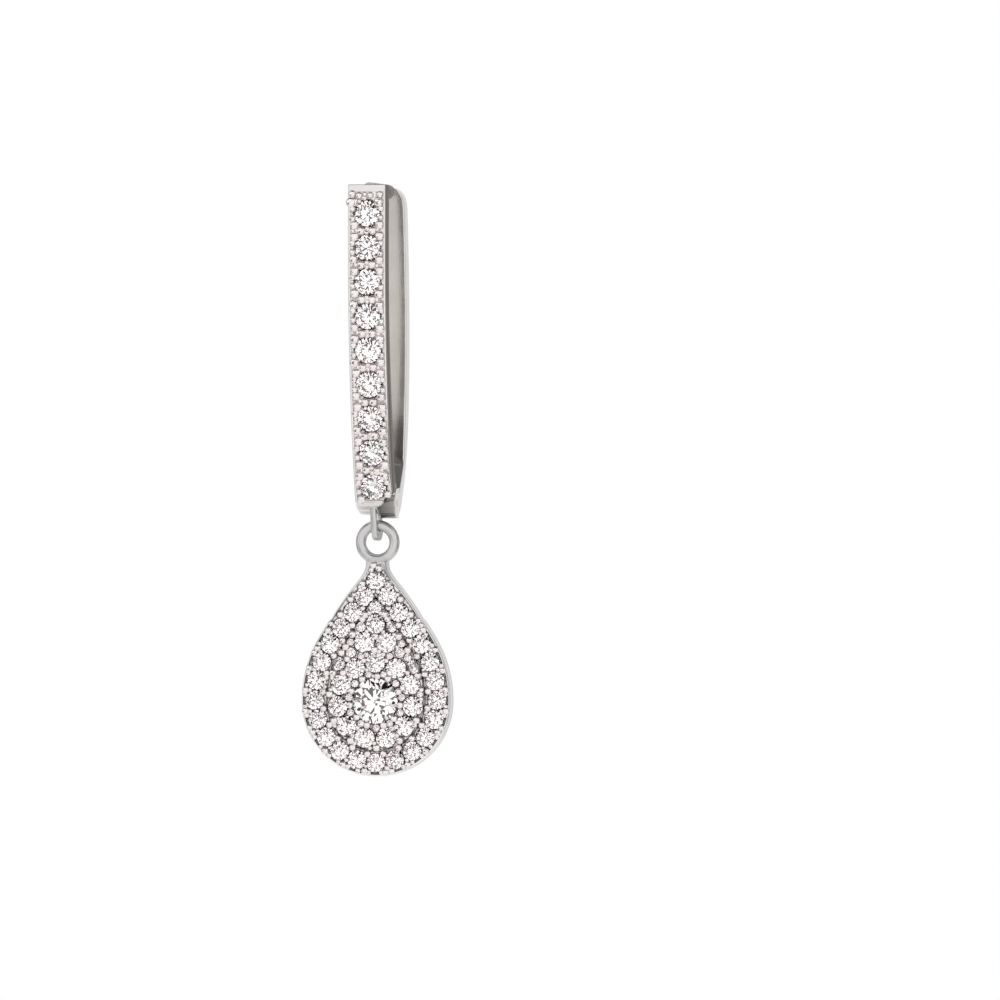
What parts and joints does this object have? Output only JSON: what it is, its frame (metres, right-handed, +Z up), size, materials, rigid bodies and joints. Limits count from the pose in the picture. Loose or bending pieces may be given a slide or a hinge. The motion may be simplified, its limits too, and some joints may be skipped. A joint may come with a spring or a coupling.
{
  "type": "teardrop drop earring",
  "caption": "Hinged oval hoop earring set with a row of round stones, with a pave teardrop that hangs from a bail at its foot.",
  "frame": {"origin": "underside of the ear post, half way along it, at the middle of the hoop's width", "axes": "+Z up as the earring hangs, the stones face -Y, +X across the hoop's width, to the right as seen from the front"},
  "size_m": [0.0088, 0.0084, 0.0349],
  "materials": {
    "white_gold": "mirror polished white gold",
    "cut_stone": "clear facetted stone"
  },
  "bodies": {
    "front": {"hoop_front": "white_gold", "hinge_pin": "white_gold", "bar_stone_1": "cut_stone", "bar_stone_2": "cut_stone", "bar_stone_3": "cut_stone", "bar_stone_4": "cut_stone", "bar_stone_5": "cut_stone", "bar_stone_6": "cut_stone", "bar_stone_7": "cut_stone", "bar_stone_8": "cut_stone", "bar_stone_9": "cut_stone"},
    "back": {"hoop_back": "white_gold"},
    "drop": {"drop_setting": "white_gold", "pave_plate": "white_gold", "centre_stone": "cut_stone", "halo_stone_1": "cut_stone", "halo_stone_2": "cut_stone", "halo_stone_3": "cut_stone", "halo_stone_4": "cut_stone", "halo_stone_5": "cut_stone", "halo_stone_6": "cut_stone", "halo_stone_7": "cut_stone", "halo_stone_8": "cut_stone", "halo_stone_9": "cut_stone", "halo_stone_10": "cut_stone", "halo_stone_11": "cut_stone", "halo_stone_12": "cut_stone", "halo_stone_13": "cut_stone", "halo_stone_14": "cut_stone", "halo_stone_15": "cut_stone", "halo_stone_16": "cut_stone", "halo_stone_17": "cut_stone", "halo_stone_18": "cut_stone", "halo_stone_19": "cut_stone", "halo_stone_20": "cut_stone", "halo_stone_21": "cut_stone", "halo_stone_22": "cut_stone", "halo_stone_23": "cut_stone", "halo_stone_24": "cut_stone"}
  },
  "joints": [
    {"name": "hoop_open", "type": "hinge", "parent": "front", "child": "back", "pos_m": [0, -0.00012, -0.01792], "axis": [-1, 0, 0], "range_deg": [0, 40]},
    {"name": "drop_swing", "type": "hinge", "parent": "front", "child": "drop", "pos_m": [0, -0.00042, -0.0192], "axis": [-1, 0, 0], "range_deg": [-75, 75]}
  ]
}
